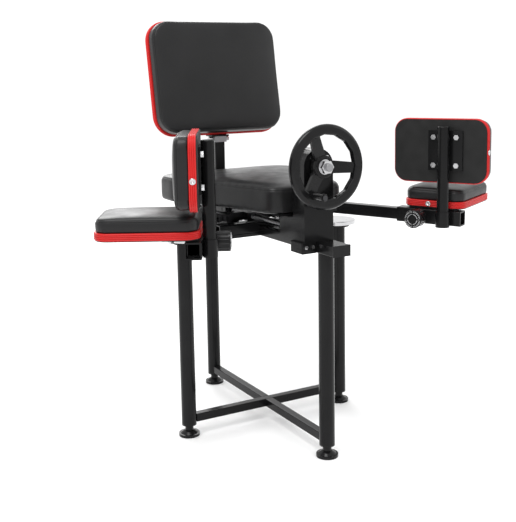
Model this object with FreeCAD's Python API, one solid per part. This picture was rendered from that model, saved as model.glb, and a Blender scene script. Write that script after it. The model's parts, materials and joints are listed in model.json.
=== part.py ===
import FreeCAD, Part
import math
import os

from FreeCAD import Rotation, Vector

# Leg stretching machine: a padded seat and backrest on a four-leg stand, with two swinging arms that
# carry leg pads and are spread by a handwheel. Millimetres. +Z is up and -Y is the way the user faces.
# It is drawn round the crossing of the stand's two diagonals, then moved as a whole so that the origin
# is on the floor under the middle of its bounding box.

# Stand
TOTAL_HEIGHT = 806.0
SIDE_LEG_X = 174.0
REAR_LEG_Y = 242.0
FRONT_LEG_Y = -219.0
LEG_R = 14.2
LEG_WALL = 1.8
LEG_BOTTOM = 24.0
DECK_BOTTOM = 377.0
DECK_THICK = 6.0
DECK_TOP = DECK_BOTTOM + DECK_THICK
BRACE = 16.0
BRACE_BOTTOM = 25.0
FOOT_R = 20.0
DISC_R = 42.0
DISC_X = 166.0
DISC_THICK = 8.0

# Centre beams
BEAM_HALF = 18.0
BEAM_TOP = 397.0
BEAM_FRONT = -266.0
CROSS_TUBE_HALF_Y = 12.0
CROSS_TUBE_TOP = 404.0
WALL = 2.5

# Drive column
COLUMN_X0 = -42.0
COLUMN_X1 = 18.0
LUG_X0 = -48.0
COLUMN_FRONT = -216.0
COLUMN_BACK = -178.0
BOX_BACK = -131.0
BOX_TOP = 438.0
WHEEL_X = -12.0
WHEEL_Z = 530.0
WHEEL_Y = -240.0
WHEEL_R = 74.0
WHEEL_DEPTH = 15.0
WHEEL_INNER = 56.5
WHEEL_FACETS = 15
SPOKE_ANGLES = (-4.0, 114.0, 232.0)
SPINNER_RING_R = 55.0
SPINNER_ANGLE = 237.0
HUB_FRONT = 5.0
SPINNER_R = 7.0
SHAFT_R = 7.0
PULLEY_R = 11.2
PULLEY_FLANGE_R = 15.0
BELT_IN = 11.5
BELT_OUT = 14.3
BELT_Y = -197.0

# Arm drive
PIVOT_X = 93.5
PIVOT_Y = 69.0
PIN_R = 6.0
MODULE = 2.5
GEAR_TEETH = 24
GEAR_PITCH_R = MODULE * GEAR_TEETH / 2.0
GEAR_Z0 = 401.0
GEAR_Z1 = 411.0
BACKLASH = 0.3
SCREW_Z = 406.0
SCREW_R = 6.0
SCREW_PITCH = 6.0
SCREW_END = 153.5
RACK_Y0 = 43.0
RACK_Y1 = 110.0
RUNNING = 0.05

# Arms and carriages, along each arm from its pivot
ARM_ANGLE = 28.9
ARM_DROOP = 1.0
ARM_Z = 423.0
ARM_HALF = 11.0
ARM_END = 367.0
SLEEVE_START = 252.0
SLEEVE_END = 378.0
SLEEVE_HALF = 14.0
SLEEVE_GAP = 0.3
POST_ALONG = 348.0
POST_R = 11.0
POST_TOP = 589.0
SOCKET_R = 13.0
SOCKET_TOP = 431.0
KNOB_ALONG = 302.0
KNOB_Z = 418.0
KNOB_R = 17.0
KNOB_LONG = 26.0
KNOB_NECK = 16.6

# Leg pads
PAD_LONG = 180.0
FLAT_PAD_LONG = 168.0
PAD_SHORT = 118.0
PAD_BOARD = 6.0
PAD_SOFT = 33.0
PAD_INSET = 1.0
PAD_CORNER = 24.0
SIDE_PAD_ALONG = 336.0
SIDE_PAD_Z = 542.5
SIDE_PLATE = 3.0
SIDE_PAD_TURN = {"left": 1.5, "right": 0.0}
FLAT_PAD_ALONG = 321.0

# Seat and backrest
SEAT_BOTTOM = 442.0
SEAT_BOARD = 10.0
SEAT_SOFT_TOP = 489.0
SEAT_OUTLINE = [
    (-78.0, -166.0), (-114.0, -20.0), (-159.0, 92.0), (-156.0, 172.0),
    (156.0, 172.0), (159.0, 92.0), (114.0, -20.0), (78.0, -166.0),
]
SEAT_CORNERS = [34.0, 60.0, 70.0, 34.0, 34.0, 70.0, 60.0, 34.0]
BACK_WIDTH = 290.0
BACK_HEIGHT = 238.0
BACK_TILT = 10.0
BACK_SOFT = 34.0
BACK_BOARD = 8.0
BACK_CORNER = 42.0
BACK_FOOT_Y = 156.0
CLEVIS_Z0 = 547.0
CLEVIS_Z1 = 559.0
POST_Y0 = 186.0
POST_Y1 = 212.0

Z = Vector(0, 0, 1)


def box(x0, x1, y0, y1, z0, z1):
    return Part.makeBox(x1 - x0, y1 - y0, z1 - z0, Vector(x0, y0, z0))


def rod(point, axis, radius, length):
    return Part.makeCylinder(radius, length, Vector(*point), Vector(*axis))


def ring(point, axis, outer, inner, length):
    return rod(point, axis, outer, length).cut(rod(point, axis, inner, length))


def join(shapes):
    return shapes[0].multiFuse(shapes[1:]).removeSplitter()


def group(shapes):
    return Part.makeCompound(shapes)


def soften(shape, radius, pick):
    return shape.makeFillet(radius, [e for e in shape.Edges if pick(e)])


def upright(edge):
    ends = [v.Point for v in edge.Vertexes]
    return len(ends) == 2 and abs((ends[1] - ends[0]).normalize().z) > 0.999


def rounded_plate(points, radii, z0, z1):
    wire = Part.makePolygon([Vector(x, y, z0) for x, y in points + points[:1]])
    solid = Part.Face(wire).extrude(Vector(0, 0, z1 - z0))
    for (x, y), radius in zip(points, radii):
        edges = [
            e for e in solid.Edges
            if upright(e) and math.hypot(e.Vertexes[0].X - x, e.Vertexes[0].Y - y) < 0.01
        ]
        if edges and radius > 0:
            solid = solid.makeFillet(radius, edges)
    return solid


def rounded_slab(width, depth, radius, z0, z1):
    w, d = width / 2.0, depth / 2.0
    return rounded_plate([(-w, -d), (w, -d), (w, d), (-w, d)], [radius] * 4, z0, z1)


def edge_height(edge, z):
    return all(abs(v.Z - z) < 0.01 for v in edge.Vertexes) and abs(edge.CenterOfMass.z - z) < 0.01


def square_tube(x0, x1, y0, y1, z0, z1, wall, along):
    """Rectangular tube with rounded corners, open at both ends of the named axis."""
    outer = box(x0, x1, y0, y1, z0, z1)
    axis = "xyz".index(along)
    run = [
        e for e in outer.Edges
        if abs(abs((e.Vertexes[1].Point - e.Vertexes[0].Point).normalize()[axis]) - 1) < 1e-6
    ]
    outer = outer.makeFillet(min(2.5, wall), run)
    low = [x0 + wall, y0 + wall, z0 + wall]
    high = [x1 - wall, y1 - wall, z1 - wall]
    low[axis] -= 2 * wall
    high[axis] += 2 * wall
    return outer.cut(box(low[0], high[0], low[1], high[1], low[2], high[2]))


def hex_bolt(point, axis, across, head, shank_r=0.0, shank=0.0):
    """Hex head standing off the point along axis, with an optional shank running the other way."""
    corner = across / math.sqrt(3.0)
    wire = Part.makePolygon(
        [Vector(corner * math.cos(math.radians(60 * k)), corner * math.sin(math.radians(60 * k)), 0)
         for k in range(7)]
    )
    bolt = Part.Face(wire).extrude(Vector(0, 0, head))
    if shank:
        bolt = join([bolt, Part.makeCylinder(shank_r, shank + 0.01, Vector(0, 0, -shank))])
    bolt.Placement = FreeCAD.Placement(Vector(*point), Rotation(Z, Vector(*axis)))
    return bolt


def turned(shape, axis, degrees, centre=(0, 0, 0)):
    done = shape.copy()
    done.rotate(Vector(*centre), Vector(*axis), degrees)
    return done


def moved(shape, x, y, z):
    done = shape.copy()
    done.translate(Vector(x, y, z))
    return done


def to_right(shape):
    return shape.mirror(Vector(0, 0, 0), Vector(1, 0, 0))


def on_left_arm(shape):
    """Local X runs out along the arm, local Y towards the user's centre line, origin at the pivot."""
    return moved(turned(shape, (0, 0, 1), -(90.0 + ARM_ANGLE)), -PIVOT_X, PIVOT_Y, 0)


def hollow_leg(x, y, top):
    return ring((x, y, LEG_BOTTOM), (0, 0, 1), LEG_R, LEG_R - LEG_WALL, top - LEG_BOTTOM)


def levelling_foot(x, y):
    disc = rod((x, y, 0), (0, 0, 1), FOOT_R, 5.0)
    crown = Part.makeCone(FOOT_R - 3.0, 9.0, 6.0, Vector(x, y, 5.0), Z)
    neck = rod((x, y, 11.0), (0, 0, 1), 8.0, 7.0)
    stem = rod((x, y, 18.0), (0, 0, 1), 5.0, 24.0)
    return join([disc, crown, neck, stem])


def foot_insert(x, y):
    collar = rod((x, y, LEG_BOTTOM - 3.0), (0, 0, 1), LEG_R, 3.0)
    plug = rod((x, y, LEG_BOTTOM), (0, 0, 1), LEG_R - LEG_WALL, 14.0)
    bore = rod((x, y, LEG_BOTTOM - 4.0), (0, 0, 1), 5.0 + RUNNING, 20.0)
    return join([collar, plug]).cut(bore)


def gear_outline(teeth, module, backlash):
    """Involute flanks at 20 degrees, one tooth centred on +X, thinned by the backlash on each flank."""
    pitch_r = module * teeth / 2.0
    base_r = pitch_r * math.cos(math.radians(20.0))
    tip_r = pitch_r + 0.9 * module
    root_r = pitch_r - 1.2 * module
    inv20 = math.tan(math.radians(20.0)) - math.radians(20.0)
    half = math.pi / (2.0 * teeth) - backlash / pitch_r + inv20
    flank = []
    for k in range(5):
        r = base_r + (tip_r - base_r) * k / 4.0
        a = math.acos(min(1.0, base_r / r))
        flank.append((r, half - (math.tan(a) - a)))
    points = []
    for tooth in range(teeth):
        mid = 2.0 * math.pi * tooth / teeth
        points.append((root_r, mid - half))
        points += [(r, mid - a) for r, a in flank]
        points += [(r, mid + a) for r, a in reversed(flank)]
        points.append((root_r, mid + half))
    return [Vector(r * math.cos(a), r * math.sin(a), 0) for r, a in points]


def arm_gear():
    outline = gear_outline(GEAR_TEETH, MODULE, BACKLASH)
    gear = Part.Face(Part.makePolygon(outline + outline[:1])).extrude(Vector(0, 0, GEAR_Z1 - GEAR_Z0))
    gear = moved(gear, 0, 0, GEAR_Z0)
    hub = rod((0, 0, DECK_TOP + 8.5), (0, 0, 1), 14.0, ARM_Z - ARM_HALF - DECK_TOP - 8.5)
    pin = rod((0, 0, 300.0), (0, 0, 1), PIN_R + RUNNING, 300.0)
    return moved(join([gear, hub]).cut(pin), -PIVOT_X, PIVOT_Y, 0)


def rack():
    pitch = math.pi * MODULE
    reach = PIVOT_X - GEAR_PITCH_R
    tip, root = reach + 0.9 * MODULE, reach - 1.2 * MODULE
    slope = math.tan(math.radians(20.0))
    low, high = SCREW_Z - 8.5, SCREW_Z + 8.5
    body = [
        box(-14.0, 14.0, RACK_Y0, RACK_Y1, low, high),
        box(-root, root, PIVOT_Y - 9.0, PIVOT_Y + 15.0, low, high),
        box(-root, -root + 10.0, RACK_Y0, RACK_Y1, low, high),
        box(root - 10.0, root, RACK_Y0, RACK_Y1, low, high),
    ]
    teeth = []
    count = int((RACK_Y1 - RACK_Y0) / pitch) + 2
    for k in range(-count, count + 1):
        y = PIVOT_Y + (k + 0.5) * pitch
        wide = pitch / 4.0 - BACKLASH + slope * 1.2 * MODULE
        thin = pitch / 4.0 - BACKLASH - slope * 0.9 * MODULE
        if y - wide < RACK_Y0 or y + wide > RACK_Y1:
            continue
        for side in (-1, 1):
            corners = [(root - 1.0, -wide), (root, -wide), (tip, -thin), (tip, thin), (root, wide),
                       (root - 1.0, wide)]
            loop = [Vector(side * x, y + dy, GEAR_Z0 - 0.5) for x, dy in corners]
            face = Part.Face(Part.makePolygon(loop + loop[:1]))
            teeth.append(face.extrude(Vector(0, 0, GEAR_Z1 - GEAR_Z0 + 0.5)))
    bore = rod((0, RACK_Y0 - 1, SCREW_Z), (0, 1, 0), SCREW_R + RUNNING, RACK_Y1 - RACK_Y0 + 2)
    return join(body + teeth).cut(bore)


def lead_screw():
    """Screw from the column to the rear bearing. The thread is a row of ridges with plain ends."""
    start, stop = -126.0, 136.0
    profile = [(0.0, COLUMN_FRONT + 6.0), (5.0, COLUMN_FRONT + 6.0), (5.0, start)]
    y = start
    while y + SCREW_PITCH <= stop:
        profile += [(SCREW_R, y + 1.2), (SCREW_R, y + 3.0), (5.0, y + 4.2), (5.0, y + SCREW_PITCH)]
        y += SCREW_PITCH
    profile += [(5.0, SCREW_END), (0.0, SCREW_END)]
    wire = Part.makePolygon([Vector(r, y, 0) for r, y in profile + profile[:1]])
    screw = Part.Face(wire).revolve(Vector(0, 0, 0), Vector(0, 1, 0), 360)
    return join([moved(screw, 0, 0, SCREW_Z), pulley(0, SCREW_Z, 5.0)])


def pulley(x, z, bore):
    """Flanged belt pulley, solid on its shaft."""
    core = rod((x, BELT_Y - 6.0, z), (0, 1, 0), PULLEY_R, 12.0)
    flanges = [rod((x, y, z), (0, 1, 0), PULLEY_FLANGE_R, 1.5) for y in (BELT_Y - 7.5, BELT_Y + 6.0)]
    hub = rod((x, BELT_Y - 11.0, z), (0, 1, 0), bore + 4.0, 22.0)
    return join([core, hub] + flanges)


def pulley_slot():
    """Room for the lower pulley where it dips through the column floor and the top of the beam."""
    return box(-15.5, 15.5, BELT_Y - 12.5, BELT_Y + 12.5, SCREW_Z - 21.0, BEAM_TOP + 3.0)


def belt_loop(radius, y0, y1):
    """Filled loop round both pulleys, between two planes across the shafts."""
    dx, dz = 0.0 - WHEEL_X, SCREW_Z - WHEEL_Z
    length = math.hypot(dx, dz)
    nx, nz = -dz / length * radius, dx / length * radius
    corners = [(WHEEL_X + nx, WHEEL_Z + nz), (0 + nx, SCREW_Z + nz), (0 - nx, SCREW_Z - nz),
               (WHEEL_X - nx, WHEEL_Z - nz)]
    loop = [Vector(x, y0, z) for x, z in corners]
    bar = Part.Face(Part.makePolygon(loop + loop[:1])).extrude(Vector(0, y1 - y0, 0))
    ends = [rod((x, y0, z), (0, 1, 0), radius, y1 - y0) for x, z in ((WHEEL_X, WHEEL_Z), (0, SCREW_Z))]
    return join([bar] + ends)


def column_profile(inset, y0, y1, bottom):
    """Column section seen from the front: straight sides and a round head over the wheel shaft."""
    half = (COLUMN_X1 - COLUMN_X0) / 2.0 - inset
    body = box(WHEEL_X - half, WHEEL_X + half, y0, y1, bottom, WHEEL_Z)
    return join([body, rod((WHEEL_X, y0, WHEEL_Z), (0, 1, 0), half, y1 - y0)])


def handwheel():
    """Set-back hub, three flat spokes and a round rim with a faceted inner side, about local Z."""
    half = WHEEL_DEPTH / 2.0
    rim = Part.makeCylinder(WHEEL_R, WHEEL_DEPTH, Vector(0, 0, -half))
    rim = soften(rim, half - 0.4, lambda e: edge_height(e, half) or edge_height(e, -half))
    facets = []
    for k in range(WHEEL_FACETS + 1):
        a = 2.0 * math.pi * k / WHEEL_FACETS
        facets.append(Vector(WHEEL_INNER * math.cos(a), WHEEL_INNER * math.sin(a), -20.0))
    rim = rim.cut(Part.Face(Part.makePolygon(facets)).extrude(Vector(0, 0, 40.0)))
    inner = [e for e in rim.Edges if len(e.Vertexes) == 2 and e.Curve.TypeId == "Part::GeomLine"
             and (edge_height(e, half) or edge_height(e, -half))]
    rim = rim.makeFillet(4.0, inner)
    arms = []
    for angle in SPOKE_ANGLES:
        profile = [(12.0, -14.5), (12.0, -8.0), (59.0, 3.0), (59.0, -4.0)]
        wire = Part.makePolygon([Vector(x, -12.0, z) for x, z in profile + profile[:1]])
        spoke = Part.Face(wire).extrude(Vector(0, 24.0, 0))
        taper = rounded_plate([(11, -11.5), (60, -9), (60, 9), (11, 11.5)], [0] * 4, -20.0, 20.0)
        arms.append(turned(spoke.common(taper), (0, 0, 1), angle))
    boss = Part.makeCylinder(9.0, half + 4.0, Vector(SPINNER_RING_R, 0, -4.0))
    arms.append(turned(boss, (0, 0, 1), SPINNER_ANGLE))
    hub = Part.makeCylinder(20.0, 14.0, Vector(0, 0, -HUB_FRONT - 14.0))
    hub = soften(hub, 2.0, lambda e: edge_height(e, -HUB_FRONT))
    wheel = join([rim, hub] + arms)
    return wheel.cut(Part.makeCylinder(SHAFT_R, 60.0, Vector(0, 0, -30.0)))


def facing_front(shape, x, y, z):
    """Stands a shape made about local Z so that its Z points forward, to -Y."""
    return moved(turned(shape, (1, 0, 0), 90.0), x, y, z)


def round_knob(radius, length):
    """Fluted clamp knob about local Z, with a stud below it."""
    body = Part.makeCylinder(radius, length, Vector(0, 0, 0))
    body = soften(body, 1.5, lambda e: edge_height(e, length))
    flutes = []
    for k in range(16):
        a = math.radians(22.5 * k)
        centre = Vector((radius + 1.0) * math.cos(a), (radius + 1.0) * math.sin(a), -1)
        flutes.append(Part.makeCylinder(2.0, length - 2.0, centre))
    for cut in flutes:
        body = body.cut(cut)
    collar = Part.makeCylinder(9.0, KNOB_NECK, Vector(0, 0, -KNOB_NECK))
    stud = Part.makeCylinder(4.0, 3.3, Vector(0, 0, -KNOB_NECK - 3.2))
    dial = Part.makeCylinder(radius - 5.0, 0.8, Vector(0, 0, length))
    return join([body, collar, stud, dial])


def pad_soft(width, depth, corner, z0, z1, crown):
    pad = rounded_slab(width, depth, corner, z0, z1)
    return soften(pad, crown, lambda e: edge_height(e, z1))


def side_pad_frame(shape):
    """Local XY is the pad plane with X along the arm, local Z points outwards, away from the user."""
    stood = turned(shape, (1, 0, 0), 90.0)
    return moved(turned(stood, (0, 0, 1), 0.0), SIDE_PAD_ALONG, 0, SIDE_PAD_Z)


def drooped(shape):
    """The tubes hang a little below level towards their outer ends."""
    return turned(shape, (0, 1, 0), ARM_DROOP, (0, 0, ARM_Z))


def left_carriage(turn):
    """Sleeve, post and pads as on the left arm, with the side pad turned a little on its post."""
    low, high = ARM_Z - SLEEVE_HALF, ARM_Z + SLEEVE_HALF
    inner = ARM_HALF + SLEEVE_GAP
    sleeve = square_tube(SLEEVE_START, SLEEVE_END, -SLEEVE_HALF, SLEEVE_HALF, low, high,
                         SLEEVE_HALF - inner, "x")
    stud = rod((KNOB_ALONG, 0, KNOB_Z), (0, 1, 0), 4.0 + RUNNING, 40.0)
    post_y = SLEEVE_HALF + POST_R
    socket = rod((POST_ALONG, post_y, 402.0), (0, 0, 1), SOCKET_R, SOCKET_TOP - 402.0)
    socket = socket.cut(box(POST_ALONG - 40, POST_ALONG + 40, -40, SLEEVE_HALF, 390, 450))
    socket = socket.cut(rod((POST_ALONG, post_y, 405.0), (0, 0, 1), POST_R + RUNNING, 100.0))
    post = rod((POST_ALONG, post_y, 405.0), (0, 0, 1), POST_R, POST_TOP - 405.0)
    post = soften(post, 2.0, lambda e: edge_height(e, POST_TOP))
    plate_back = SLEEVE_HALF + 0.8
    board_back = SLEEVE_HALF - SIDE_PLATE
    soft_back = board_back - PAD_BOARD
    plate = box(POST_ALONG - 33.0, POST_ALONG + 33.0, board_back, plate_back,
                SIDE_PAD_Z - 36.0, SIDE_PAD_Z + 38.0)
    side_board = rounded_slab(PAD_LONG - 2 * PAD_INSET, PAD_SHORT - 2 * PAD_INSET, PAD_CORNER - PAD_INSET,
                              0, PAD_BOARD)
    side_board = moved(side_pad_frame(side_board), 0, board_back, 0)
    side_soft = side_pad_frame(pad_soft(PAD_LONG, PAD_SHORT, PAD_CORNER, 0, PAD_SOFT, 9.0))
    side_soft = moved(side_soft, 0, soft_back, 0)
    flat_x = FLAT_PAD_ALONG
    flat_y = SLEEVE_HALF - 3.0 - FLAT_PAD_LONG / 2.0
    flat_z = high + SIDE_PLATE
    flat_plate = box(flat_x - 45.0, flat_x + 45.0, -50.0, 10.0, high, flat_z)
    flat_board = moved(rounded_slab(PAD_SHORT - 2 * PAD_INSET, FLAT_PAD_LONG - 2 * PAD_INSET,
                                    PAD_CORNER - PAD_INSET, flat_z, flat_z + PAD_BOARD), flat_x, flat_y, 0)
    flat_soft = moved(pad_soft(PAD_SHORT, FLAT_PAD_LONG, PAD_CORNER, flat_z + PAD_BOARD,
                               flat_z + PAD_BOARD + PAD_SOFT, 9.0), flat_x, flat_y, 0)
    side_bolts = []
    for dx in (-22.0, 22.0):
        for dz in (-26.0, 26.0):
            side_bolts.append(hex_bolt((POST_ALONG + dx, plate_back, SIDE_PAD_Z + dz), (0, 1, 0), 9.0, 4.5))
    flat_bolts = [hex_bolt((flat_x + dx, -36.0, high), (0, 0, -1), 9.0, 4.5) for dx in (-36.0, 36.0)]

    def on_post(shape):
        return turned(shape, (0, 0, 1), turn, (POST_ALONG, post_y, 0))

    return {
        "sleeve": join([drooped(join([sleeve, flat_plate])).cut(stud), socket]),
        "pad_post": on_post(join([post, plate])),
        "pad_boards": group([on_post(side_board), drooped(flat_board)]),
        "side_pad": on_post(side_soft),
        "flat_pad": drooped(flat_soft),
        "pad_bolts": group([on_post(bolt) for bolt in side_bolts] + [drooped(bolt) for bolt in flat_bolts]),
    }


def clamp_knob():
    knob = turned(round_knob(KNOB_R, KNOB_LONG), (1, 0, 0), -90.0)
    return moved(knob, KNOB_ALONG, SLEEVE_HALF + 0.4 + KNOB_NECK, KNOB_Z)


def arm_tube():
    low, high = ARM_Z - ARM_HALF, ARM_Z + ARM_HALF
    tube = drooped(square_tube(12.0, ARM_END, -ARM_HALF, ARM_HALF, low, high, 2.0, "x"))
    boss = rod((0, 0, low), (0, 0, 1), 18.0, high - low)
    tube = tube.cut(rod((0, 0, low - 1), (0, 0, 1), 18.0, high - low + 2))
    bore = rod((0, 0, low - 1), (0, 0, 1), PIN_R + RUNNING, high - low + 2)
    return join([tube, boss]).cut(bore)


def stand():
    deck = DECK_BOTTOM
    long_brace = square_tube(-SIDE_LEG_X + LEG_R - 0.6, SIDE_LEG_X - LEG_R + 0.6, -BRACE / 2, BRACE / 2,
                             BRACE_BOTTOM, BRACE_BOTTOM + BRACE, 1.5, "x")
    for x in (-SIDE_LEG_X, SIDE_LEG_X):
        long_brace = long_brace.cut(rod((x, 0, 0), (0, 0, 1), LEG_R, 100.0))
    halves = [
        square_tube(-BRACE / 2, BRACE / 2, FRONT_LEG_Y + LEG_R - 0.6, -BRACE / 2, BRACE_BOTTOM,
                    BRACE_BOTTOM + BRACE, 1.5, "y").cut(rod((0, FRONT_LEG_Y, 0), (0, 0, 1), LEG_R, 100)),
        square_tube(-BRACE / 2, BRACE / 2, BRACE / 2, REAR_LEG_Y - LEG_R + 0.6, BRACE_BOTTOM,
                    BRACE_BOTTOM + BRACE, 1.5, "y").cut(rod((0, REAR_LEG_Y, 0), (0, 0, 1), LEG_R, 100)),
    ]
    cross = box(-170.0, 170.0, -CROSS_TUBE_HALF_Y, CROSS_TUBE_HALF_Y, deck, DECK_TOP)
    ends = [rod((x, 0, deck), (0, 0, 1), 30.0, DECK_THICK) for x in (-DISC_X, DISC_X)]
    cross = join([cross] + ends)
    discs = [rod((x, 0, DECK_TOP), (0, 0, 1), DISC_R, DISC_THICK) for x in (-DISC_X, DISC_X)]
    discs = [soften(disc, 1.5, lambda e: edge_height(e, DECK_TOP + DISC_THICK)) for disc in discs]
    discs = [disc.cut(box(-104.2, 104.2, -12.2, 12.2, DECK_TOP, 400.0)) for disc in discs]
    cross_tube = square_tube(-104.0, 104.0, -CROSS_TUBE_HALF_Y, CROSS_TUBE_HALF_Y, DECK_TOP,
                             CROSS_TUBE_TOP, WALL, "x")
    cross_tube = cross_tube.cut(rod((0, -30, SCREW_Z), (0, 1, 0), SCREW_R + 1.5, 60))
    front_beam = square_tube(-BEAM_HALF, BEAM_HALF, BEAM_FRONT, -CROSS_TUBE_HALF_Y, deck, BEAM_TOP,
                             WALL, "y").cut(pulley_slot())
    plug = join([box(-BEAM_HALF, BEAM_HALF, BEAM_FRONT - 3.0, BEAM_FRONT, deck, BEAM_TOP),
                 box(-BEAM_HALF + WALL, BEAM_HALF - WALL, BEAM_FRONT, BEAM_FRONT + 12.0,
                     deck + WALL, BEAM_TOP - WALL)])
    rear_beam = box(-22.0, 22.0, CROSS_TUBE_HALF_Y, REAR_LEG_Y + 16.0, deck, DECK_TOP)
    pivot_plate = rounded_slab(2 * PIVOT_X + 46.0, 64.0, 18.0, DECK_TOP, DECK_TOP + 6.0)
    pivot_plate = moved(pivot_plate, 0, PIVOT_Y, 0)
    pins = []
    for x in (-PIVOT_X, PIVOT_X):
        pin = rod((x, PIVOT_Y, DECK_TOP + 6.0), (0, 0, 1), PIN_R, ARM_Z + ARM_HALF + 2.0 - DECK_TOP - 6.0)
        cap = rod((x, PIVOT_Y, ARM_Z + ARM_HALF + 0.5), (0, 0, 1), 12.0, 2.5)
        nut = hex_bolt((x, PIVOT_Y, ARM_Z + ARM_HALF + 3.0), (0, 0, 1), 16.0, 4.0)
        pins.append(join([pin, cap, nut]))
    leg_tops = {
        "leg_left": (-SIDE_LEG_X, 0.0), "leg_right": (SIDE_LEG_X, 0.0),
        "leg_front": (0.0, FRONT_LEG_Y), "leg_rear": (0.0, REAR_LEG_Y),
    }
    nodes = {name: hollow_leg(x, y, deck) for name, (x, y) in leg_tops.items()}
    for name, (x, y) in leg_tops.items():
        nodes[name.replace("leg", "foot")] = levelling_foot(x, y)
    nodes.update({
        "foot_inserts": group([foot_insert(x, y) for x, y in leg_tops.values()]),
        "braces": group([long_brace] + halves),
        "deck": group([cross, rear_beam]),
        "deck_discs": group(discs),
        "cross_tube": cross_tube,
        "front_beam": front_beam,
        "beam_end_plug": plug,
        "pivot_plate": pivot_plate,
        "pivot_pins": group(pins),
    })
    return nodes


def drive():
    wall = WALL
    shell = column_profile(0, COLUMN_FRONT, COLUMN_BACK - 2.0, BEAM_TOP)
    shell = shell.cut(column_profile(wall, COLUMN_FRONT + wall, COLUMN_BACK, BEAM_TOP + wall))
    shell = shell.cut(rod((WHEEL_X, COLUMN_FRONT - 1, WHEEL_Z), (0, 1, 0), 12.0, 10)).cut(pulley_slot())
    cover = column_profile(0, COLUMN_BACK - 2.0, COLUMN_BACK, BEAM_TOP)
    cover = cover.cut(rod((0, COLUMN_BACK - 5, SCREW_Z), (0, 1, 0), 8.0, 10))
    screw_box = box(COLUMN_X0, COLUMN_X1, COLUMN_BACK, BOX_BACK, BEAM_TOP, BOX_TOP)
    screw_box = screw_box.cut(box(COLUMN_X0 + wall, COLUMN_X1 - wall, COLUMN_BACK - 1, BOX_BACK - wall,
                                  BEAM_TOP + wall, BOX_TOP - wall))
    for y in (COLUMN_BACK - 1, BOX_BACK - 10):
        screw_box = screw_box.cut(rod((0, y, SCREW_Z), (0, 1, 0), 8.0, 20 if y > -170 else 7))
    lug = box(LUG_X0, -BEAM_HALF, COLUMN_FRONT, COLUMN_BACK, DECK_BOTTOM, BEAM_TOP)
    lug = soften(lug, 1.5, lambda e: abs(e.CenterOfMass.x - LUG_X0) < 0.01)
    belt = belt_loop(BELT_OUT, BELT_Y - 5.5, BELT_Y + 5.5).cut(
        belt_loop(BELT_IN, BELT_Y - 6.0, BELT_Y + 6.0))
    flange = ring((WHEEL_X, COLUMN_FRONT - 2.5, WHEEL_Z), (0, 1, 0), 27.0, SHAFT_R + RUNNING, 2.5)
    sleeve = ring((WHEEL_X, COLUMN_FRONT, WHEEL_Z), (0, 1, 0), 12.0, SHAFT_R + RUNNING, 6.0)
    front_bush = ring((0, COLUMN_BACK - 2.0, SCREW_Z), (0, 1, 0), 8.0, 5.0 + RUNNING, 8.0)
    box_bush = ring((0, BOX_BACK - 8.0, SCREW_Z), (0, 1, 0), 8.0, 5.0 + RUNNING, 8.0)
    rear_block = box(-16.0, 16.0, 138.0, 152.0, DECK_TOP, SCREW_Z + 11.0)
    rear_block = rear_block.cut(rod((0, 130, SCREW_Z), (0, 1, 0), 5.0 + RUNNING, 30))
    screws = []
    for k in range(4):
        a = math.radians(45.0 + 90.0 * k)
        x, z = WHEEL_X + 21.0 * math.cos(a), WHEEL_Z + 21.0 * math.sin(a)
        screws.append(hex_bolt((x, COLUMN_FRONT - 2.5, z), (0, -1, 0), 7.0, 2.0))
    for x in (LUG_X0 + 8.0, LUG_X0 + 22.0):
        screws.append(hex_bolt((x, COLUMN_FRONT, DECK_BOTTOM + 12.0), (0, -1, 0), 6.5, 3.0))
    hub_face = WHEEL_Y + HUB_FRONT
    shaft_front = hub_face - 17.0
    shaft = rod((WHEEL_X, shaft_front, WHEEL_Z), (0, 1, 0), SHAFT_R, BELT_Y + 12.0 - shaft_front)
    shaft = soften(shaft, 1.5, lambda e: abs(e.CenterOfMass.y - shaft_front) < 0.01)
    shaft = join([shaft, pulley(WHEEL_X, WHEEL_Z, SHAFT_R)])
    washer = ring((WHEEL_X, hub_face - 2.0, WHEEL_Z), (0, 1, 0), 13.0, SHAFT_R, 2.0)
    nut = hex_bolt((WHEEL_X, hub_face - 2.0, WHEEL_Z), (0, -1, 0), 21.0, 9.0)
    nut = nut.cut(rod((WHEEL_X, WHEEL_Y - 30, WHEEL_Z), (0, 1, 0), SHAFT_R, 40))
    wheel = facing_front(handwheel(), WHEEL_X, WHEEL_Y, WHEEL_Z)
    spin = math.radians(SPINNER_ANGLE)
    grip_x = WHEEL_X + SPINNER_RING_R * math.cos(spin)
    grip_z = WHEEL_Z + SPINNER_RING_R * math.sin(spin)
    grip_end = WHEEL_Y - WHEEL_DEPTH / 2.0 - 0.3
    grip = ring((grip_x, WHEEL_Y - 40.0, grip_z), (0, 1, 0), SPINNER_R, 3.0 + RUNNING, grip_end - WHEEL_Y + 40.0)
    grip = soften(grip, 1.5, lambda e: abs(e.CenterOfMass.y - WHEEL_Y + 40.0) < 0.01
                  and abs(e.Length - 2 * math.pi * SPINNER_R) < 0.1)
    grip_pin = join([rod((grip_x, WHEEL_Y - 40.3, grip_z), (0, 1, 0), 3.0, 44.3),
                     rod((grip_x, WHEEL_Y - 42.5, grip_z), (0, 1, 0), 4.5, 2.2)])
    pin_hole = rod((grip_x, WHEEL_Y - 30.0, grip_z), (0, 1, 0), 3.0, 60.0)
    return {
        "column_housing": shell,
        "column_cover": cover,
        "screw_box": screw_box,
        "column_lug": lug,
        "drive_belt": belt,
        "wheel_flange": join([flange, sleeve]),
        "screw_bushes": group([front_bush, box_bush]),
        "rear_screw_block": rear_block,
        "column_screws": group(screws),
        "wheel_shaft": shaft,
        "wheel_nut": group([washer, nut]),
        "handwheel": wheel.cut(pin_hole),
        "spinner_pin": grip_pin,
        "spinner_grip": grip,
        "lead_screw": lead_screw(),
        "rack": rack(),
    }


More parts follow.
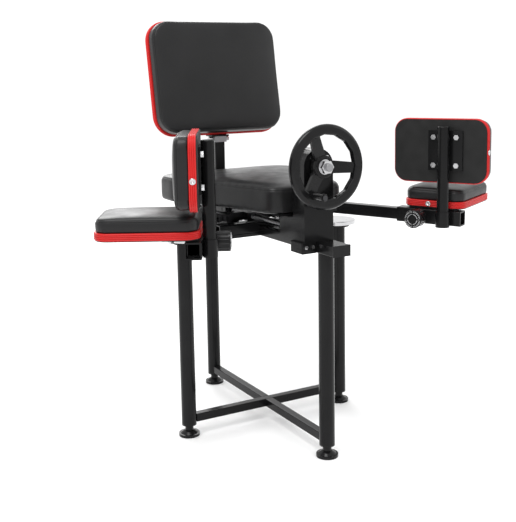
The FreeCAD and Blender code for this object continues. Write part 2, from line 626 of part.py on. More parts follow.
def on_backrest(shape):
    """Local Z points forward out of the cushion, local Y up the board, origin at the lower front edge."""
    stood = turned(shape, (1, 0, 0), 90.0)
    return moved(turned(stood, (1, 0, 0), -BACK_TILT), 0, BACK_FOOT_Y, BACK_FOOT_Z)


BACK_FOOT_Z = TOTAL_HEIGHT - BACK_HEIGHT * math.cos(math.radians(BACK_TILT)) - 1.5


def upholstery():
    board = rounded_plate(SEAT_OUTLINE, SEAT_CORNERS, SEAT_BOTTOM, SEAT_BOTTOM + SEAT_BOARD)
    soft = rounded_plate(SEAT_OUTLINE, SEAT_CORNERS, SEAT_BOTTOM + SEAT_BOARD, SEAT_SOFT_TOP + 6.0)
    soft = soften(soft, 8.0, lambda e: edge_height(e, SEAT_SOFT_TOP + 6.0))
    mid = BACK_HEIGHT / 2.0
    back_soft = moved(pad_soft(BACK_WIDTH, BACK_HEIGHT, BACK_CORNER, -BACK_SOFT, 0, 9.0), 0, mid, 0)
    back_board = moved(rounded_slab(BACK_WIDTH - 2 * PAD_INSET, BACK_HEIGHT - 2 * PAD_INSET, BACK_CORNER - PAD_INSET,
                                    -BACK_SOFT - BACK_BOARD, -BACK_SOFT), 0, mid, 0)
    rear = -BACK_SOFT - BACK_BOARD
    spine = on_backrest(box(-20, 20, -10, 130, rear - 4.0, rear)).cut(box(-60, 60, 100, 300, 400, CLEVIS_Z1))
    clevis = box(-14.0, 14.0, POST_Y0 - 2.0, POST_Y1 + 2.0, CLEVIS_Z0, CLEVIS_Z1)
    shelf = box(-20.0, 20.0, POST_Y0 - 2.0, POST_Y1 + 2.0, CLEVIS_Z1, CLEVIS_Z1 + 3.0)
    post = square_tube(-11.0, 11.0, POST_Y0, POST_Y1, DECK_TOP, CLEVIS_Z0, WALL, "z")
    bolts = []
    for side in (-1, 1):
        bolts.append(hex_bolt((side * 14.0, POST_Y0 + 9.0, CLEVIS_Z0 + 5.9), (side, 0, 0), 10.0, 9.0))
    for x in (-12.0, 12.0):
        for y in (60.0, 112.0):
            bolts.append(on_backrest(hex_bolt((x, y, rear - 4.0), (0, 0, -1), 10.0, 4.0)))
    front_bracket = box(-62.0, 62.0, -162.0, BOX_BACK - 3.0, BOX_TOP, SEAT_BOTTOM)
    plate_z = SEAT_BOTTOM - 5.0
    support = join([square_tube(-15.0, 15.0, 155.0, 181.0, DECK_TOP, plate_z, WALL, "z"),
                    box(-70.0, 70.0, 120.0, 170.0, plate_z, SEAT_BOTTOM)])
    seat_bolts = []
    for x in (-54.0, 54.0):
        seat_bolts.append(hex_bolt((x, -148.0, BOX_TOP), (0, 0, -1), 10.0, 5.0))
        seat_bolts.append(hex_bolt((x, 132.0, plate_z), (0, 0, -1), 10.0, 5.0))
    return {
        "seat_board": board,
        "seat_cushion": soft,
        "seat_supports": group([front_bracket, support]),
        "back_post": post,
        "back_clevis": clevis,
        "back_bracket": join([shelf, spine]),
        "back_board": on_backrest(back_board),
        "back_cushion": on_backrest(back_soft),
        "cushion_bolts": group(seat_bolts + bolts),
    }


def arms():
    nodes = {}
    for side in ("left", "right"):
        made = {"arm_gear": arm_gear(), "arm_tube": on_left_arm(arm_tube()),
                "knob": on_left_arm(clamp_knob())}
        carriage = left_carriage(SIDE_PAD_TURN[side])
        made.update({name: on_left_arm(shape) for name, shape in carriage.items()})
        for name, shape in made.items():
            nodes[side + "_" + name] = shape if side == "left" else to_right(shape)
    return nodes


os.makedirs("parts", exist_ok=True)
parts = {}
for made in (stand(), drive(), upholstery(), arms()):
    parts.update(made)
ends = [y for shape in parts.values() for y in (shape.BoundBox.YMin, shape.BoundBox.YMax)]
middle = round((min(ends) + max(ends)) / 2.0, 3)
for name, shape in sorted(parts.items()):
    shape = moved(shape, 0, -middle, 0)
    if not shape.isValid() or any(s.Volume <= 0 for s in shape.Solids):
        print("check", name, shape.isValid(), [round(s.Volume, 1) for s in shape.Solids])
    shape.exportStep("parts/%s.step" % name)
print(len(parts), "nodes, moved", -middle)
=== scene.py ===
"""Looks of the leg stretching machine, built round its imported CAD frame. Metres throughout."""
import json
import math

import bmesh
import bpy
from mathutils import Matrix, Vector
from mathutils.bvhtree import BVHTree


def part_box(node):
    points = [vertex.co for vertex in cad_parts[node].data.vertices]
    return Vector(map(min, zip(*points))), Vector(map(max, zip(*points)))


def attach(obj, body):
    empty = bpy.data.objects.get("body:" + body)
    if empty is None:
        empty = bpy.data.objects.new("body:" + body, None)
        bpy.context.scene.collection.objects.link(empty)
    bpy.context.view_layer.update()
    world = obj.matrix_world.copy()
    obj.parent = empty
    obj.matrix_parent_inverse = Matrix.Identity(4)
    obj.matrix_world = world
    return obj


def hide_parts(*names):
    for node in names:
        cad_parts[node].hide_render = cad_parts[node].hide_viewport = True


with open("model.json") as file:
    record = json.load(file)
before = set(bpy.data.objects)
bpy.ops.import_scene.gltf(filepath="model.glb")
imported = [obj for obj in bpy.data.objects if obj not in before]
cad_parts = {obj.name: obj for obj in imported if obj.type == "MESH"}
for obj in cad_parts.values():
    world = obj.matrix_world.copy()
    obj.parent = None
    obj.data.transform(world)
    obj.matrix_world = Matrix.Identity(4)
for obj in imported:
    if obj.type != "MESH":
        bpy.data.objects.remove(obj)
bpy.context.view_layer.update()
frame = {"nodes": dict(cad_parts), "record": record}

# The stand's crossing lies this far along Y from the frame's origin.
CROSSING = sum(corner.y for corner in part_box("foot_left")) / 2

# Left arm: the right one mirrors it. The spots are in the arm's own frame.
ARM_ANGLE = math.radians(28.9)
ARM_DROOP = math.radians(1.0)
ARM_Z = 0.423
PIVOT = (-0.0935, 0.069 + CROSSING, 0.0)
POST_SPOT = Vector((0.348, 0.025, 0.0))
SIDE_PAD_SPOT = (0.336, 0.005, 0.5425)
FLAT_PAD_SPOT = (0.321, -0.073, 0.446)
DIAL_SPOT = (0.302, 0.0578, 0.418)

# Leg pads. Heights are over the face of the backing board.
SIDE_PAD_TURN = {"left": math.radians(1.5), "right": 0.0}
SIDE_PAD_LONG = 0.180
FLAT_PAD_LONG = 0.168
LEG_PAD_SHORT = 0.118
LEG_PAD = dict(corner=0.024, seam=0.0255, band=(-0.0045, 0.0075), inset=0.001)

# Backrest and seat.
TOTAL_HEIGHT = 0.806
BACK_WIDTH = 0.290
BACK_HEIGHT = 0.238
BACK_TILT = math.radians(10.0)
BACK_FOOT = (0.0, 0.156 + CROSSING, TOTAL_HEIGHT - BACK_HEIGHT * math.cos(BACK_TILT) - 0.0015)
BACK_PAD_SPOT = (0.0, BACK_HEIGHT / 2, -0.034)
SEAT_HALF_WIDTH = 0.16
SEAT_HALF_DEPTH = 0.17
SEAT_MIDDLE_Y = 0.003 + CROSSING
SEAT_SEAM_DROP = 0.010

# Upholstery.
PAD_VOXEL = 0.004
SEAT_VOXEL = 0.005
CLOTH_FRAMES = 20
EVENING_ROUNDS = 24
SEAM_RADIUS = 0.0010
SEAT_SEAM_RADIUS = 0.0008
RIB_PITCH = 0.003
VENT_STANDOFF = 0.0013
# A normal that rises less than this is on a cover's side.
SIDE_FACING = 0.93


# ---------------------------------------------------------------- camera and light

def make_camera():
    """Stands the camera in front of the machine and to its left, at the height of the backrest."""
    eye = Vector((-0.851, -1.5142 + CROSSING, 0.6936))
    yaw, pitch, roll = (math.radians(a) for a in (29.2126, 8.0456, -0.9324))
    view = Vector((math.sin(yaw) * math.cos(pitch), math.cos(yaw) * math.cos(pitch), -math.sin(pitch)))
    right = Vector((math.cos(yaw), -math.sin(yaw), 0.0))
    up = right.cross(view)
    right, up = (right * math.cos(roll) + up * math.sin(roll),
                 up * math.cos(roll) - right * math.sin(roll))
    camera = bpy.data.objects.new("camera", bpy.data.cameras.new("camera"))
    bpy.context.scene.collection.objects.link(camera)
    axes = Matrix((right, up, -view)).transposed()
    camera.matrix_world = Matrix.Translation(eye) @ axes.to_4x4()
    camera.data.sensor_width = 36.0
    camera.data.lens = 61.66862
    camera.data.shift_x = -0.0080077
    camera.data.shift_y = -0.1206897
    bpy.context.scene.camera = camera


def area_light(name, place, target, size, power):
    light = bpy.data.lights.new(name, "AREA")
    light.shape = "DISK"
    light.size = size
    light.energy = power
    obj = bpy.data.objects.new(name, light)
    obj.location = place
    obj.rotation_euler = (Vector(target) - Vector(place)).to_track_quat("-Z", "Y").to_euler()
    bpy.context.scene.collection.objects.link(obj)


def make_studio():
    scene = bpy.context.scene
    scene.view_settings.view_transform = "Standard"
    world = bpy.data.worlds.new("studio")
    world.use_nodes = True
    background = world.node_tree.nodes["Background"]
    background.inputs["Color"].default_value = (1.0, 1.0, 1.0, 1.0)
    background.inputs["Strength"].default_value = 1.1
    scene.world = world
    area_light("key", (-1.0, -0.6, 3.0), (0, 0, 0.45), 1.6, 52.0)
    area_light("fill", (2.4, -1.4, 1.6), (0, 0, 0.45), 1.8, 8.0)
    area_light("rim", (0.6, 2.8, 2.0), (0, 0, 0.5), 1.8, 34.0)
    mesh = bpy.data.meshes.new("floor")
    edge = 30.0
    mesh.from_pydata([(-edge, -edge, 0), (edge, -edge, 0), (edge, edge, 0), (-edge, edge, 0)], [],
                     [(0, 1, 2, 3)])
    floor = bpy.data.objects.new("floor", mesh)
    floor.location.z = -0.0005
    bpy.context.scene.collection.objects.link(floor)
    floor.data.materials.append(plain_floor())


# ---------------------------------------------------------------- materials

def new_material(name, color, roughness, metallic=0.0, specular=0.5):
    material = bpy.data.materials.new(name)
    material.use_nodes = True
    shader = material.node_tree.nodes["Principled BSDF"]
    shader.inputs["Base Color"].default_value = (*color, 1.0)
    shader.inputs["Roughness"].default_value = roughness
    shader.inputs["Metallic"].default_value = metallic
    shader.inputs["Specular IOR Level"].default_value = specular
    return material, material.node_tree, shader


def add_node(tree, kind, **values):
    node = tree.nodes.new(kind)
    for key, value in values.items():
        if key in node.inputs:
            node.inputs[key].default_value = value
        else:
            setattr(node, key, value)
    return node


def object_coordinates(tree):
    return add_node(tree, "ShaderNodeTexCoord").outputs["Object"]


def noise(tree, scale, detail=3.0, roughness=0.5):
    node = add_node(tree, "ShaderNodeTexNoise", Scale=scale, Detail=detail, Roughness=roughness)
    tree.links.new(object_coordinates(tree), node.inputs["Vector"])
    return node.outputs["Fac"]


def vary_color(tree, shader, dark, light, scale, detail=4.0):
    """Base colour drifting between two close tones."""
    ramp = add_node(tree, "ShaderNodeValToRGB")
    ramp.color_ramp.elements[0].color = (*dark, 1.0)
    ramp.color_ramp.elements[1].color = (*light, 1.0)
    ramp.color_ramp.elements[0].position = 0.3
    ramp.color_ramp.elements[1].position = 0.7
    tree.links.new(noise(tree, scale, detail), ramp.inputs["Fac"])
    tree.links.new(ramp.outputs["Color"], shader.inputs["Base Color"])


def vary_roughness(tree, shader, low, high, scale):
    spread = add_node(tree, "ShaderNodeMapRange")
    spread.inputs["From Min"].default_value = 0.3
    spread.inputs["From Max"].default_value = 0.7
    spread.inputs["To Min"].default_value = low
    spread.inputs["To Max"].default_value = high
    tree.links.new(noise(tree, scale, 5.0), spread.inputs["Value"])
    tree.links.new(spread.outputs["Result"], shader.inputs["Roughness"])


def add_bump(tree, shader, height, strength, distance):
    bump = add_node(tree, "ShaderNodeBump", Strength=strength, Distance=distance)
    tree.links.new(height, bump.inputs["Height"])
    tree.links.new(bump.outputs["Normal"], shader.inputs["Normal"])


def plain_floor():
    material, tree, shader = new_material("floor", (0.95, 0.95, 0.95), 0.9, specular=0.2)
    vary_color(tree, shader, (0.945, 0.945, 0.945), (0.955, 0.955, 0.955), 0.8)
    return material


def powder_coat():
    """Semi-gloss black stoved paint with a faint orange-peel surface."""
    material, tree, shader = new_material("powder_coat", (0.006, 0.006, 0.0064), 0.2, specular=0.16)
    vary_color(tree, shader, (0.0045, 0.0045, 0.0048), (0.0075, 0.0075, 0.0079), 14.0)
    vary_roughness(tree, shader, 0.15, 0.23, 22.0)
    add_bump(tree, shader, noise(tree, 700.0, 2.0), 0.06, 0.0002)
    return material


def moulded_plastic():
    material, tree, shader = new_material("moulded_plastic", (0.006, 0.006, 0.0064), 0.2, specular=0.2)
    vary_color(tree, shader, (0.005, 0.005, 0.0053), (0.008, 0.008, 0.0084), 30.0)
    vary_roughness(tree, shader, 0.16, 0.25, 60.0)
    add_bump(tree, shader, noise(tree, 1600.0, 2.0), 0.08, 0.0001)
    return material


def vinyl(name, dark, light, gloss):
    """Upholstery vinyl: fine pebbled grain, larger tone drift."""
    material, tree, shader = new_material(name, light, gloss, specular=0.22)
    vary_color(tree, shader, dark, light, 9.0)
    vary_roughness(tree, shader, gloss - 0.05, gloss + 0.07, 35.0)
    pebbles = add_node(tree, "ShaderNodeTexVoronoi", Scale=900.0)
    pebbles.feature = "SMOOTH_F1"
    tree.links.new(object_coordinates(tree), pebbles.inputs["Vector"])
    mixed = add_node(tree, "ShaderNodeMath", operation="ADD")
    tree.links.new(pebbles.outputs["Distance"], mixed.inputs[0])
    tree.links.new(noise(tree, 420.0, 3.0), mixed.inputs[1])
    add_bump(tree, shader, mixed.outputs["Value"], 0.22, 0.0004)
    return material


def metal(name, color, low, high, scratch):
    """Bright or satin metal with fine streaks."""
    material, tree, shader = new_material(name, color, low, metallic=1.0)
    dark = tuple(0.86 * c for c in color)
    vary_color(tree, shader, dark, color, 60.0)
    vary_roughness(tree, shader, low, high, 120.0)
    add_bump(tree, shader, noise(tree, 1500.0, 4.0), scratch, 0.0002)
    return material


def soft_rubber():
    material, tree, shader = new_material("soft_rubber", (0.018, 0.018, 0.018), 0.75, specular=0.3)
    vary_color(tree, shader, (0.014, 0.014, 0.014), (0.024, 0.024, 0.024), 25.0)
    add_bump(tree, shader, noise(tree, 900.0, 3.0), 0.25, 0.0003)
    return material


def pad_backing():
    """Black backing board of the pads, faintly fibrous."""
    material, tree, shader = new_material("pad_backing", (0.012, 0.012, 0.012), 0.5, specular=0.2)
    vary_color(tree, shader, (0.010, 0.010, 0.010), (0.016, 0.016, 0.016), 45.0)
    vary_roughness(tree, shader, 0.5, 0.68, 90.0)
    add_bump(tree, shader, noise(tree, 650.0, 6.0, 0.7), 0.3, 0.0004)
    return material


MATERIALS = {
    "frame_paint": powder_coat(),
    "black_plastic": moulded_plastic(),
    "zinc": metal("zinc_plate", (0.60, 0.60, 0.61), 0.14, 0.26, 0.03),
    "steel": metal("machined_steel", (0.30, 0.30, 0.31), 0.25, 0.4, 0.06),
    "dark_steel": metal("dark_steel", (0.06, 0.06, 0.063), 0.3, 0.45, 0.06),
    "bronze": metal("bearing_bronze", (0.6, 0.42, 0.22), 0.3, 0.42, 0.12),
    "belt_rubber": soft_rubber(),
    "pad_board": pad_backing(),
    "pale_print": metal("pale_print", (0.62, 0.62, 0.63), 0.4, 0.55, 0.05),
    "vinyl": vinyl("black_vinyl", (0.010, 0.010, 0.0104), (0.014, 0.014, 0.0145), 0.34),
    "red_trim": vinyl("red_vinyl", (0.46, 0.012, 0.012), (0.56, 0.018, 0.017), 0.4),
}


def finish_cad_nodes():
    """Gives every carried-over CAD node its finish."""
    slots = {part["node"]: part["material_slot"] for part in frame["record"]["subparts"]}
    for name, obj in frame["nodes"].items():
        material = MATERIALS[slots[name]]
        if not obj.data.materials:
            obj.data.materials.append(material)
        for index in range(len(obj.data.materials)):
            obj.data.materials[index] = material


# ---------------------------------------------------------------- frames of the arms and pads

def arm_frame(side):
    """Local X out along the arm, local Y towards the centre line, origin at the pivot on the floor."""
    left = Matrix.Translation(PIVOT) @ Matrix.Rotation(-math.pi / 2 - ARM_ANGLE, 4, "Z")
    return left if side == "left" else Matrix.Diagonal((-1, 1, 1, 1)) @ left


def sleeve_frame(side):
    """As arm_frame, hanging a little below level towards the outer end like the tube."""
    return (arm_frame(side) @ Matrix.Translation((0, 0, ARM_Z)) @ Matrix.Rotation(ARM_DROOP, 4, "Y")
            @ Matrix.Translation((0, 0, -ARM_Z)))


def back_frame():
    """Local Y up the backrest, local Z forward out of the cushion, origin at its lower front edge."""
    return (Matrix.Translation(BACK_FOOT) @ Matrix.Rotation(-BACK_TILT, 4, "X")
            @ Matrix.Rotation(math.pi / 2, 4, "X"))


def turned_on_post(side):
    """The side pad stands turned a little about its post."""
    return (Matrix.Translation(POST_SPOT) @ Matrix.Rotation(SIDE_PAD_TURN[side], 4, "Z")
            @ Matrix.Translation(-POST_SPOT))


# Every pad: its frame, outline, seam height, band from and to, how far the backing board stands in
# from the outline, and air vents as (x, y, direction they face).
PADS = {}
for side, vent_y in (("left", -0.010), ("right", -0.001)):
    PADS[side + "_side_pad"] = dict(
        LEG_PAD, width=SIDE_PAD_LONG, depth=LEG_PAD_SHORT,
        frame=arm_frame(side) @ turned_on_post(side) @ Matrix.Translation(SIDE_PAD_SPOT)
        @ Matrix.Rotation(math.pi / 2, 4, "X"),
        body=side + "_carriage", vents=((SIDE_PAD_LONG / 2, vent_y, "X"),))
    PADS[side + "_flat_pad"] = dict(
        LEG_PAD, width=LEG_PAD_SHORT, depth=FLAT_PAD_LONG,
        frame=sleeve_frame(side) @ Matrix.Translation(FLAT_PAD_SPOT),
        body=side + "_carriage", vents=((-0.007, FLAT_PAD_LONG / 2, "Y"),))
PADS["back_cushion"] = dict(
    width=BACK_WIDTH, depth=BACK_HEIGHT, corner=0.042, seam=0.026, band=(-0.006, 0.002), inset=0.001,
    frame=back_frame() @ Matrix.Translation(BACK_PAD_SPOT),
    body="stand", vents=())


# ---------------------------------------------------------------- mesh helpers

def new_object(name, verts, faces, material, smooth=True):
    mesh = bpy.data.meshes.new(name)
    mesh.from_pydata([tuple(v) for v in verts], [], faces)
    mesh.validate()
    tidy = bmesh.new()
    tidy.from_mesh(mesh)
    bmesh.ops.recalc_face_normals(tidy, faces=tidy.faces)
    tidy.to_mesh(mesh)
    tidy.free()
    obj = bpy.data.objects.new(name, mesh)
    bpy.context.scene.collection.objects.link(obj)
    mesh.materials.append(material)
    mesh.polygons.foreach_set("use_smooth", [smooth] * len(mesh.polygons))
    return obj


def place(obj, matrix, body, slot_name):
    """Bakes the placement into the mesh and hangs the piece on its body."""
    obj.data.transform(matrix)
    if matrix.determinant() < 0:
        obj.data.flip_normals()
    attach(obj, body)
    return obj


def rounded_outline(width, depth, corner, step=0.004):
    """Points and outward normals round a rounded rectangle, evenly spaced."""
    w, d = width / 2 - corner, depth / 2 - corner
    spots = []
    for cx, cy, start in ((w, d, 0), (-w, d, 90), (-w, -d, 180), (w, -d, 270)):
        count = max(6, int(corner * math.pi / 2 / step))
        for k in range(count + 1):
            a = math.radians(start + 90 * k / count)
            spots.append((cx + corner * math.cos(a), cy + corner * math.sin(a), math.cos(a), math.sin(a)))
    dense = []
    for here, after in zip(spots, spots[1:] + spots[:1]):
        gap = math.hypot(after[0] - here[0], after[1] - here[1])
        count = max(1, int(gap / step))
        for k in range(count):
            t = k / count
            dense.append(tuple(a + (b - a) * t for a, b in zip(here, after)))
    return dense


def sweep(name, outline, profile, material):
    """Closed band: every profile point (outward offset, height) carried round the outline."""
    verts = []
    for x, y, nx, ny in outline:
        verts += [(x + nx * out, y + ny * out, z) for out, z in profile]
    rows, cols = len(outline), len(profile)
    faces = []
    for i in range(rows):
        for j in range(cols):
            a, b = i * cols + j, i * cols + (j + 1) % cols
            c, d = ((i + 1) % rows) * cols + (j + 1) % cols, ((i + 1) % rows) * cols + j
            faces.append((a, b, c, d))
    return new_object(name, verts, faces, material)


def lathe(name, profile, material, segments=32):
    """Solid of revolution about local Z from (radius, height) points. The ends lie on the axis."""
    verts, faces = [], []
    for k in range(segments):
        a = 2 * math.pi * k / segments
        verts += [(r * math.cos(a), r * math.sin(a), z) for r, z in profile]
    count = len(profile)
    for k in range(segments):
        for j in range(count - 1):
            a, b = k * count + j, k * count + j + 1
            c, d = ((k + 1) % segments) * count + j + 1, ((k + 1) % segments) * count + j
            faces.append((a, b, c, d))
    obj = new_object(name, verts, faces, material)
    weld = bmesh.new()
    weld.from_mesh(obj.data)
    bmesh.ops.remove_doubles(weld, verts=weld.verts, dist=1e-6)
    bmesh.ops.recalc_face_normals(weld, faces=weld.faces)
    weld.to_mesh(obj.data)
    weld.free()
    return obj


def tube(name, path, radius, material, sides=8, closed=True):
    """Thin cord along a path of points."""
    count = len(path)
    verts, faces = [], []
    for i, spot in enumerate(path):
        ahead = path[(i + 1) % count] if closed or i + 1 < count else path[i]
        behind = path[i - 1] if closed or i else path[i]
        along = (ahead - behind).normalized()
        side = along.cross(Vector((0, 0, 1)))
        side = side.normalized() if side.length > 1e-4 else Vector((1, 0, 0))
        up = side.cross(along)
        for k in range(sides):
            a = 2 * math.pi * k / sides
            verts.append(spot + side * (radius * math.cos(a)) + up * (radius * math.sin(a)))
    for i in range(count if closed else count - 1):
        for k in range(sides):
            a, b = i * sides + k, i * sides + (k + 1) % sides
            c, d = ((i + 1) % count) * sides + (k + 1) % sides, ((i + 1) % count) * sides + k
            faces.append((a, b, c, d))
    return new_object(name, verts, faces, material)


# ---------------------------------------------------------------- upholstery

def remeshed(obj, voxel):
    modifier = obj.modifiers.new("remesh", "REMESH")
    modifier.mode = "VOXEL"
    modifier.voxel_size = voxel
    bake(obj)


def bake(obj):
    """Turns the piece's modifiers into its mesh."""
    evaluated = obj.evaluated_get(bpy.context.evaluated_depsgraph_get())
    mesh = bpy.data.meshes.new_from_object(evaluated)
    obj.modifiers.clear()
    obj.data = mesh
    mesh.polygons.foreach_set("use_smooth", [True] * len(mesh.polygons))


def inflate(obj, held_below, cap):
    """Swells the cover with a cloth simulation, held where it meets its backing."""
    start = [v.co.copy() for v in obj.data.vertices]
    group = obj.vertex_groups.new(name="held")
    group.add([i for i, co in enumerate(start) if co.z < held_below], 1.0, "REPLACE")
    cloth = obj.modifiers.new("cloth", "CLOTH")
    cloth.settings.quality = 6
    cloth.settings.mass = 0.3
    cloth.settings.tension_stiffness = 30
    cloth.settings.compression_stiffness = 30
    cloth.settings.shear_stiffness = 12
    cloth.settings.bending_stiffness = 4.0
    cloth.settings.use_pressure = True
    cloth.settings.uniform_pressure_force = 3.0
    cloth.settings.vertex_group_mass = "held"
    cloth.settings.effector_weights.gravity = 0.0
    cloth.point_cache.frame_start = 1
    cloth.point_cache.frame_end = CLOTH_FRAMES
    for step in range(1, CLOTH_FRAMES + 1):
        bpy.context.scene.frame_set(step)
    bake(obj)
    shifts = [vertex.co - co for vertex, co in zip(obj.data.vertices, start)]
    for vertex, co, shift in zip(obj.data.vertices, start, evened(obj.data, shifts, EVENING_ROUNDS)):
        vertex.co = co + shift * min(1.0, cap / max(shift.length, 1e-6))
    bpy.context.scene.frame_set(1)


def evened(mesh, values, rounds):
    """Averages a vector per vertex with its neighbours, so that fine creases go and fullness stays."""
    links = [[] for _ in mesh.vertices]
    for edge in mesh.edges:
        a, b = edge.vertices
        links[a].append(b)
        links[b].append(a)
    for _ in range(rounds):
        values = [(values[i] + sum((values[j] for j in near), Vector())) / (1 + len(near))
                  for i, near in enumerate(links)]
    return values


def relax(obj, rounds, factor=0.5):
    mesh = bmesh.new()
    mesh.from_mesh(obj.data)
    for _ in range(rounds):
        bmesh.ops.smooth_vert(mesh, verts=mesh.verts, factor=factor, use_axis_x=True, use_axis_y=True,
                              use_axis_z=True)
    mesh.to_mesh(obj.data)
    mesh.free()


def subdivide(obj):
    modifier = obj.modifiers.new("smooth", "SUBSURF")
    modifier.levels = modifier.render_levels = 1
    bake(obj)


def groove(obj, height, width, depth):
    """Pinches the cover's sides along a line at one height."""
    for vertex in obj.data.vertices:
        gap = abs(vertex.co.z - height)
        if gap < width and abs(vertex.normal.z) < SIDE_FACING:
            vertex.co -= vertex.normal * (depth * (1 - (gap / width) ** 2) ** 2)


def soft_block(name, outline, low, high, edge):
    """Closed prism on the outline whose upper edge is rounded over, ready to be remeshed."""
    profile = [(-0.0006, low)]
    for k in range(5):
        a = math.pi / 2 * k / 4
        profile.append((-edge + edge * math.cos(a), high - edge + edge * math.sin(a)))
    rows, cols = len(outline), len(profile)
    verts = []
    for x, y, nx, ny in outline:
        verts += [(x + nx * out, y + ny * out, z) for out, z in profile]
    faces = []
    for i in range(rows):
        for j in range(cols - 1):
            a, b = i * cols + j, i * cols + j + 1
            c, d = ((i + 1) % rows) * cols + j + 1, ((i + 1) % rows) * cols + j
            faces.append((a, b, c, d))
    faces.append([i * cols + cols - 1 for i in range(rows)])
    faces.append([i * cols for i in reversed(range(rows))])
    return new_object(name, verts, faces, MATERIALS["vinyl"])


def crowned(obj, half_w, half_d, rise, waist):
    """Domes the top up from its edges and draws the sides in a little between the corners."""
    top = max(v.co.z for v in obj.data.vertices)
    low = min(v.co.z for v in obj.data.vertices)
    for vertex in obj.data.vertices:
        x, y = vertex.co.x / half_w, vertex.co.y / half_d
        level = (vertex.co.z - low) / (top - low)
        vertex.co.z += rise * level ** 3 * (max(0.0, 1 - x ** 4) * max(0.0, 1 - y ** 4)) ** 0.7
        vertex.co.x -= waist * level * x ** 3 * max(0.0, 1 - y * y)
        vertex.co.y -= waist * level * y ** 3 * max(0.0, 1 - x * x)


def make_cover(name, pad, voxel):
    """A simulated cover in its pad's own frame, flat where it meets the band."""
    width, depth, low, seam = pad["width"], pad["depth"], pad["band"][1], pad["seam"]
    outline = rounded_outline(width - 0.002, depth - 0.002, pad["corner"] - 0.001)
    cover = soft_block(name, outline, low, seam + 0.002, 0.0025)
    remeshed(cover, voxel)
    crowned(cover, width / 2, depth / 2, 0.006, 0.0010)
    inflate(cover, low + 0.002, 0.002)
    relax(cover, 1)
    subdivide(cover)
    groove(cover, seam, 0.0026, 0.0010)
    return cover


def surface_path(cover, outline, height, sink):
    """Points on the cover's side at one height, found by looking in from outside the outline."""
    corners = [v.co for v in cover.data.vertices]
    tree = BVHTree.FromPolygons(corners, [tuple(p.vertices) for p in cover.data.polygons])
    path = []
    for x, y, nx, ny in outline:
        inward = Vector((-nx, -ny, 0)).normalized()
        hit = tree.ray_cast(Vector((x + nx * 0.03, y + ny * 0.03, height)), inward)
        if hit[0] is not None:
            path.append(hit[0] + inward * sink)
    return path


def ribbed_band(name, outline, low, high, inset, ribs):
    """Trim strip with fine raised ribs running round the pad and its board."""
    profile = [(-inset + 0.0001, low), (-0.0003, low)]
    tall = (high - low) / ribs
    for k in range(ribs):
        foot = low + k * tall
        for step in range(1, 6):
            a = math.pi * step / 6
            profile.append((0.0013 * math.sin(a) - 0.0003, foot + tall * step / 6))
        profile.append((-0.0006, foot + tall))
    profile += [(-0.010, high), (-0.010, 0.0003), (-inset + 0.0001, 0.0003)]
    return sweep(name, outline, profile, MATERIALS["red_trim"])


def vent(name):
    """Small pressed air vent with a dark centre dimple."""
    profile = [(0.0, -0.001), (0.0048, -0.001), (0.0052, 0.0002), (0.0046, 0.0009), (0.0034, 0.0011),
               (0.0022, 0.0006), (0.0016, -0.0004), (0.0, -0.0004)]
    return lathe(name, profile, MATERIALS["zinc"], 28)


def upholster():
    covers = {name: make_cover("cover", PADS[name], PAD_VOXEL)
              for name in ("left_side_pad", "left_flat_pad", "back_cushion")}
    for name, pad in PADS.items():
        source = covers[name.replace("right", "left")]
        cover = bpy.data.objects.new(name + "_cover", source.data.copy())
        bpy.context.scene.collection.objects.link(cover)
        outline = rounded_outline(pad["width"], pad["depth"], pad["corner"])
        seam_path = surface_path(cover, outline, pad["seam"], 0.0001)
        seam = tube(name + "_seam", seam_path, SEAM_RADIUS, MATERIALS["vinyl"])
        ribs = round((pad["band"][1] - pad["band"][0]) / RIB_PITCH)
        band = ribbed_band(name + "_trim", outline, *pad["band"], pad["inset"], ribs)
        for piece in (cover, seam, band):
            place(piece, pad["frame"], pad["body"], "vinyl")
        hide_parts(name)
        middle = sum(pad["band"]) / 2
        for index, (x, y, direction) in enumerate(pad["vents"]):
            button = vent("%s_vent_%d" % (name, index))
            facing = (Matrix.Rotation(math.pi / 2, 4, "Y") if direction == "X"
                      else Matrix.Rotation(-math.pi / 2, 4, "X"))
            put = (pad["frame"] @ Matrix.Translation((x, y, middle)) @ facing
                   @ Matrix.Translation((0, 0, VENT_STANDOFF)))
            place(button, put, pad["body"], "zinc")
    for cover in covers.values():
        bpy.data.objects.remove(cover)


def seat_outline():
    """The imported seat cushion's outline, slightly inside its edge, with outward normals."""
    low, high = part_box("seat_cushion")
    mesh = bmesh.new()
    mesh.from_mesh(frame["nodes"]["seat_cushion"].data)
    bmesh.ops.remove_doubles(mesh, verts=mesh.verts, dist=1e-6)
    rim = [v.co.copy() for v in mesh.verts if abs(v.co.z - low.z) < 1e-5]
    mesh.free()
    middle = Vector((0.0, 0.04 + CROSSING))
    rim = {(round(co.x, 6), round(co.y, 6)) for co in rim}
    rim = sorted(rim, key=lambda p: math.atan2(p[1] - middle.y, p[0] - middle.x))
    spots = []
    for here, after in zip(rim, rim[1:] + rim[:1]):
        gap = math.hypot(after[0] - here[0], after[1] - here[1])
        count = max(1, int(gap / 0.005))
        normal = Vector((after[1] - here[1], here[0] - after[0])).normalized()
        for k in range(count):
            t = k / count
            spots.append((here[0] + (after[0] - here[0]) * t, here[1] + (after[1] - here[1]) * t,
                          normal.x, normal.y))
    return spots, low.z, high.z


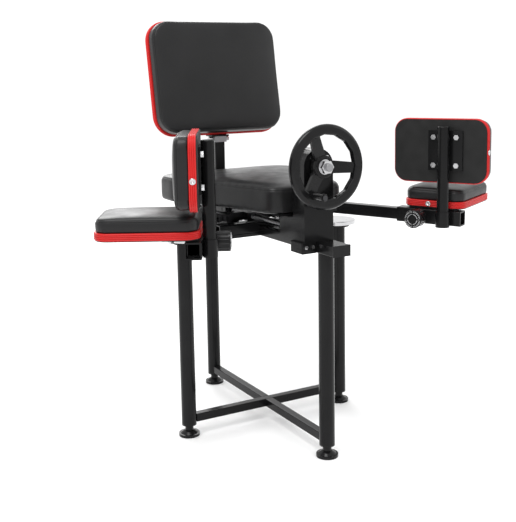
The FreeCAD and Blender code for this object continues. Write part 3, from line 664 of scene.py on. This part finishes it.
def make_seat():
    spots, low, high = seat_outline()
    board_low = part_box("seat_board")[0].z
    inside = [(x - nx * 0.001, y - ny * 0.001, nx, ny) for x, y, nx, ny in spots]
    cover = soft_block("seat_cover", inside, board_low, high - 0.006, 0.005)
    remeshed(cover, SEAT_VOXEL)
    crown = max(v.co.z for v in cover.data.vertices)
    for vertex in cover.data.vertices:
        x, y = vertex.co.x / SEAT_HALF_WIDTH, (vertex.co.y - SEAT_MIDDLE_Y) / SEAT_HALF_DEPTH
        level = max(0.0, (vertex.co.z - board_low) / (crown - board_low))
        vertex.co.z += 0.005 * level * max(0.0, 1 - x * x) * max(0.0, 1 - y * y)
    inflate(cover, low + 0.002, 0.004)
    relax(cover, 1)
    subdivide(cover)
    groove(cover, high - SEAT_SEAM_DROP, 0.004, 0.0012)
    seam_path = surface_path(cover, spots, high - SEAT_SEAM_DROP, 0.0002)
    seam = tube("seat_seam", seam_path, SEAT_SEAM_RADIUS, MATERIALS["vinyl"])
    place(cover, Matrix.Identity(4), "stand", "vinyl")
    place(seam, Matrix.Identity(4), "stand", "vinyl")
    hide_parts("seat_cushion", "seat_board")


# ---------------------------------------------------------------- small visible details

def dial_marks(name):
    """Two raised pale rings and a row of plain ticks on a knob's face."""
    verts, faces = [], []

    def add_sector(r0, r1, a0, a1, low, high, steps):
        first = len(verts)
        for k in range(steps + 1):
            a = a0 + (a1 - a0) * k / steps
            for r, z in ((r0, low), (r1, low), (r1, high), (r0, high)):
                verts.append((r * math.cos(a), r * math.sin(a), z))
        for k in range(steps):
            for j in range(4):
                a, b = first + 4 * k + j, first + 4 * k + (j + 1) % 4
                faces.append((a, b, b + 4, a + 4))
        faces.append([first + j for j in range(4)])
        faces.append([first + 4 * steps + j for j in reversed(range(4))])

    for k in range(4):
        start = math.pi / 2 * k + 0.12
        add_sector(0.0089, 0.0098, start, start + 1.33, 0.0004, 0.0010, 12)
        add_sector(0.0141, 0.0148, start, start + 1.33, -0.0004, 0.0002, 12)
    for k in range(24):
        middle = 2 * math.pi * (k + 0.5) / 24
        add_sector(0.0124, 0.0134, middle - 0.045, middle + 0.045, -0.0004, 0.0002, 2)
    return new_object(name, verts, faces, MATERIALS["pale_print"], smooth=False)


def mark_knobs():
    for side in ("left", "right"):
        put = Matrix.Translation(DIAL_SPOT) @ Matrix.Rotation(-math.pi / 2, 4, "X")
        place(dial_marks(side + "_knob_dial"), arm_frame(side) @ put, side + "_clamp", "zinc")


make_camera()
make_studio()
finish_cad_nodes()
upholster()
make_seat()
mark_knobs()
